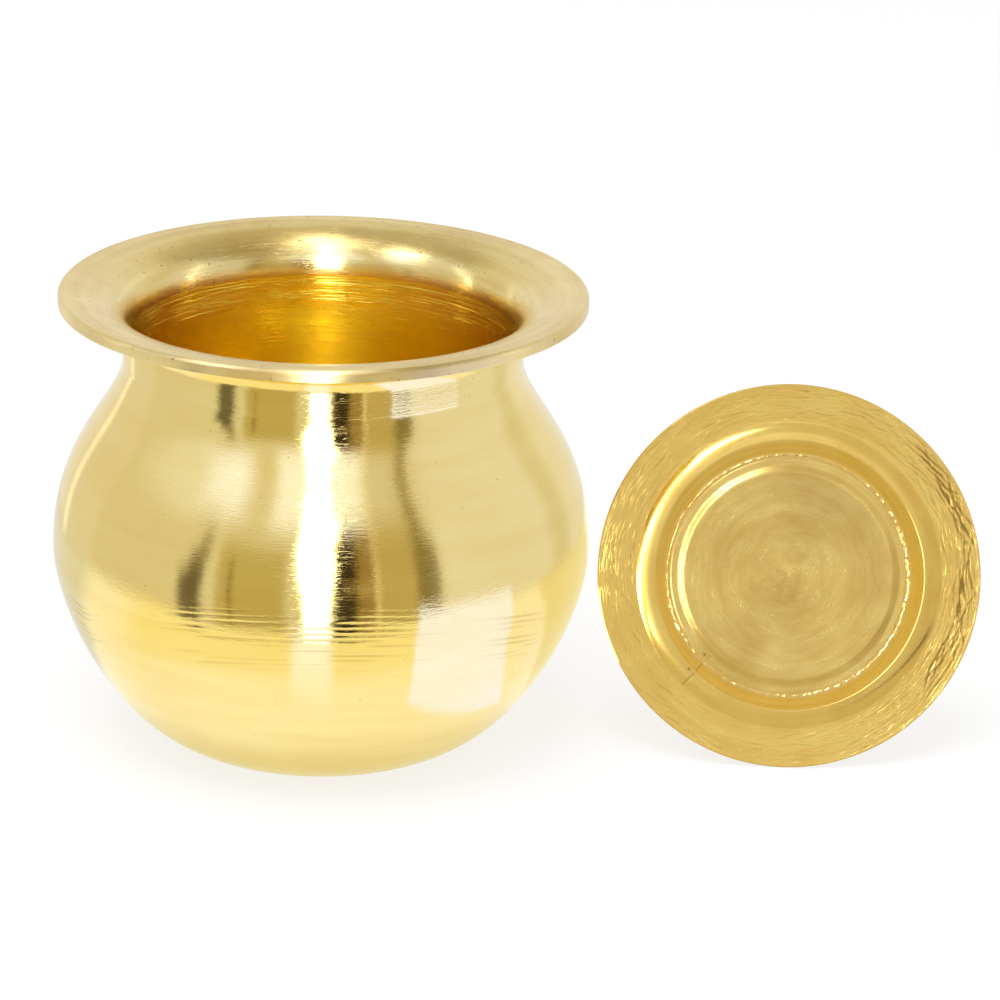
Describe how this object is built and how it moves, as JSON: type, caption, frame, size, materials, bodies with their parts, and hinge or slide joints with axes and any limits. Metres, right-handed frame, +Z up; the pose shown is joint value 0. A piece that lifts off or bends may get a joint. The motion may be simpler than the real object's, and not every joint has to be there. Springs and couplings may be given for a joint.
{
  "type": "lota",
  "caption": "Small round-bellied brass water pot with a straight neck and a wide flared lip, and its dished round lid taken off and standing beside it.",
  "frame": {"origin": "centre of the pot's flat foot, on the surface it stands on", "axes": "+Z up along the pot's axis, +X to the right towards the lid, and -Y towards the viewer, the side that the lid's dished face is turned to"},
  "size_m": [0.232, 0.1342, 0.1155],
  "materials": {
    "pot_brass": "turned and polished",
    "lid_brass": "hand scraped and brushed",
    "hard_solder": "filed flush on the pot, left as a rough bead on the lid"
  },
  "bodies": {
    "pot": {"lower_bowl": "pot_brass", "belly_seam": "hard_solder", "shoulder": "pot_brass", "neck_seam": "hard_solder", "flared_mouth": "pot_brass"},
    "lid": {"lid_brim": "lid_brass", "lid_seam": "hard_solder", "lid_pan": "lid_brass"}
  },
  "joints": [
    {"name": "lid_lift", "type": "slide", "parent": "pot", "child": "lid", "axis": [0, 0, 1], "range_m": [0, 0.13]}
  ]
}
